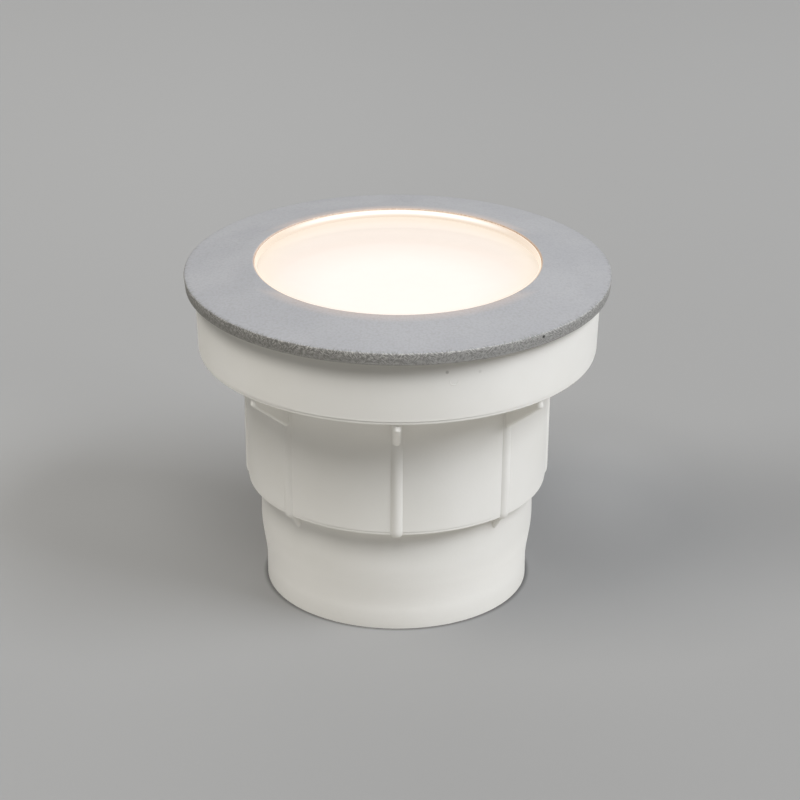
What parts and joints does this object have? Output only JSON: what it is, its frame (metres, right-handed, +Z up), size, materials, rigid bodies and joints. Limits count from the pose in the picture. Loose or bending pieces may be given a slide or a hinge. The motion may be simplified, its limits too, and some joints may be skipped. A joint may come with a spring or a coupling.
{
  "type": "recessed pathway light",
  "caption": "Round walk-over ground light: grey grained bezel, frosted lens, twist-lock disc lamp in a sealed housing, and a white stepped recess sleeve with ribs and gussets.",
  "frame": {"origin": "centre of the sleeve's foot, on the plane that it stands on", "axes": "+Z up along the light's axis, towards the lens; the cable gland lies towards +Y"},
  "size_m": [0.12, 0.12, 0.0971],
  "materials": {
    "sleeve_white": "fine matt moulding",
    "bezel_grey": "fine moulded grain on the face, coarser on the edge",
    "frosted_glass": "frosted, lit warm white from behind",
    "clear_silicone": "translucent, lit by the lens",
    "opal": "opal, lit warm white",
    "housing_dark": "matt moulding",
    "inner_white": "satin moulding",
    "lamp_white": "satin moulding",
    "seal_rubber": "matt",
    "stainless": "fine brushed",
    "brass": "bright",
    "board_aluminium": "matt",
    "board_green": "lacquered board",
    "lead_brown": "satin insulation",
    "lead_blue": "satin insulation",
    "gland_dark": "satin moulding"
  },
  "bodies": {
    "sleeve": {"recess_sleeve": "sleeve_white"},
    "luminaire": {"lamp_housing": "housing_dark", "reflector": "inner_white", "lampholder_base": "inner_white", "lampholder_back": "inner_white", "contact_1": "brass", "contact_2": "brass", "lampholder_screw_1": "stainless", "lampholder_screw_2": "stainless", "terminal_block": "inner_white", "terminal_barrel_1": "brass", "terminal_barrel_2": "brass", "terminal_screw_1": "stainless", "terminal_screw_2": "stainless", "terminal_screw_3": "stainless", "terminal_screw_4": "stainless", "terminal_fixing_screw": "stainless", "lead_1": "lead_brown", "lead_2": "lead_blue", "gland_body": "gland_dark", "gland_o_ring": "seal_rubber", "gland_locknut": "gland_dark", "gland_seal": "seal_rubber", "gland_nut": "gland_dark"},
    "bezel": {"bezel_ring": "bezel_grey", "bezel_seal": "seal_rubber", "lens": "frosted_glass", "lens_gasket": "clear_silicone", "lens_retainer": "stainless", "retainer_screw_1": "stainless", "retainer_screw_2": "stainless", "retainer_screw_3": "stainless", "retainer_screw_4": "stainless"},
    "lamp": {"lamp_base": "lamp_white", "lamp_cover": "opal", "lamp_board": "board_aluminium", "lamp_driver": "board_green", "lamp_pin_1": "brass", "lamp_pin_2": "brass"}
  },
  "joints": [
    {"name": "luminaire_lift", "type": "slide", "parent": "sleeve", "child": "luminaire", "axis": [0, 0, 1], "range_m": [0, 0.085]},
    {"name": "bezel_turn", "type": "hinge", "parent": "luminaire", "child": "bezel", "pos_m": [0, 0, 0.0904], "axis": [0, 0, 1], "range_deg": [0, 30]},
    {"name": "lamp_twist", "type": "hinge", "parent": "luminaire", "child": "lamp", "pos_m": [0, 0, 0.0639], "axis": [0, 0, 1], "range_deg": [0, 16]}
  ]
}
